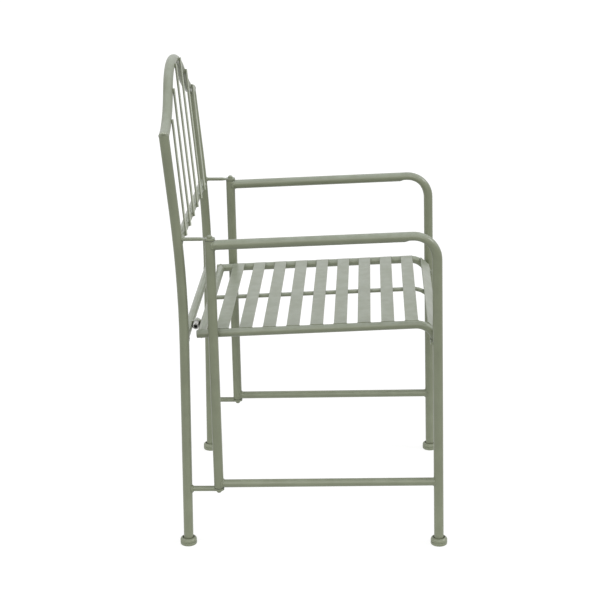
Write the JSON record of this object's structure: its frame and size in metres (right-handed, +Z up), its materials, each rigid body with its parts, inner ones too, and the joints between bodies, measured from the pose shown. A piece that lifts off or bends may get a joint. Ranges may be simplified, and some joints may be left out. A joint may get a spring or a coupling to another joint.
{
  "type": "metal garden chair",
  "caption": "Folding garden armchair of painted steel tube, with an arched spindle back, flat seat slats on bent rails, and side frames on upright pivots.",
  "frame": {"origin": "on the floor under the middle of the chair's box", "axes": "+Z up, -Y the way the sitter faces, +X to the sitter's left"},
  "size_m": [0.51, 0.5468, 0.941],
  "materials": {
    "sage_paint": "satin",
    "zinc": "satin",
    "bush": "matte"
  },
  "bodies": {
    "back_frame": {"back_arch": "sage_paint", "back_lower_rail": "sage_paint", "back_spindle_1": "sage_paint", "back_spindle_2": "sage_paint", "back_spindle_3": "sage_paint", "back_spindle_4": "sage_paint", "back_spindle_5": "sage_paint", "back_spindle_6": "sage_paint", "left_hinge_lug": "sage_paint", "left_lower_pivot_bracket": "sage_paint", "left_lower_pivot_pin": "sage_paint", "left_rear_foot": "sage_paint", "left_rear_post": "sage_paint", "left_upper_pivot_bolt": "sage_paint", "left_upper_pivot_bracket": "sage_paint", "right_hinge_lug": "sage_paint", "right_lower_pivot_bracket": "sage_paint", "right_lower_pivot_pin": "sage_paint", "right_rear_foot": "sage_paint", "right_rear_post": "sage_paint", "right_upper_pivot_bolt": "sage_paint", "right_upper_pivot_bracket": "sage_paint", "seat_hinge_rail": "sage_paint"},
    "seat": {"left_hinge_bolt": "zinc", "left_hinge_nut": "zinc", "left_hinge_washer": "zinc", "left_seat_hinge_lug": "sage_paint", "left_seat_rail": "sage_paint", "right_hinge_bolt": "zinc", "right_hinge_nut": "zinc", "right_hinge_washer": "zinc", "right_seat_hinge_lug": "sage_paint", "right_seat_rail": "sage_paint", "seat_centre_rod": "sage_paint", "seat_rear_rail": "sage_paint", "seat_slat_01": "sage_paint", "seat_slat_02": "sage_paint", "seat_slat_03": "sage_paint", "seat_slat_04": "sage_paint", "seat_slat_05": "sage_paint", "seat_slat_06": "sage_paint", "seat_slat_07": "sage_paint", "seat_slat_08": "sage_paint", "seat_slat_09": "sage_paint", "seat_slat_10": "sage_paint"},
    "left_side": {"left_rear_upright": "sage_paint", "left_arm_front_leg": "sage_paint", "left_lower_stretcher": "sage_paint", "left_upper_pivot_bush": "bush", "left_lower_pivot_bush": "bush", "left_front_foot": "sage_paint", "left_seat_rest": "sage_paint"},
    "right_side": {"right_rear_upright": "sage_paint", "right_arm_front_leg": "sage_paint", "right_lower_stretcher": "sage_paint", "right_upper_pivot_bush": "bush", "right_lower_pivot_bush": "bush", "right_front_foot": "sage_paint", "right_seat_rest": "sage_paint"}
  },
  "joints": [
    {"name": "seat_fold", "type": "hinge", "parent": "back_frame", "child": "seat", "pos_m": [0, 0.21878, 0.4363], "axis": [-1, 0, 0], "range_deg": [0, 86]},
    {"name": "left_side_swing", "type": "hinge", "parent": "back_frame", "child": "left_side", "pos_m": [0.2385, 0.1781, 0.375], "axis": [0, 0, 1], "range_deg": [0, 125]},
    {"name": "right_side_swing", "type": "hinge", "parent": "back_frame", "child": "right_side", "pos_m": [-0.2385, 0.1781, 0.375], "axis": [0, 0, -1], "range_deg": [0, 125]}
  ]
}
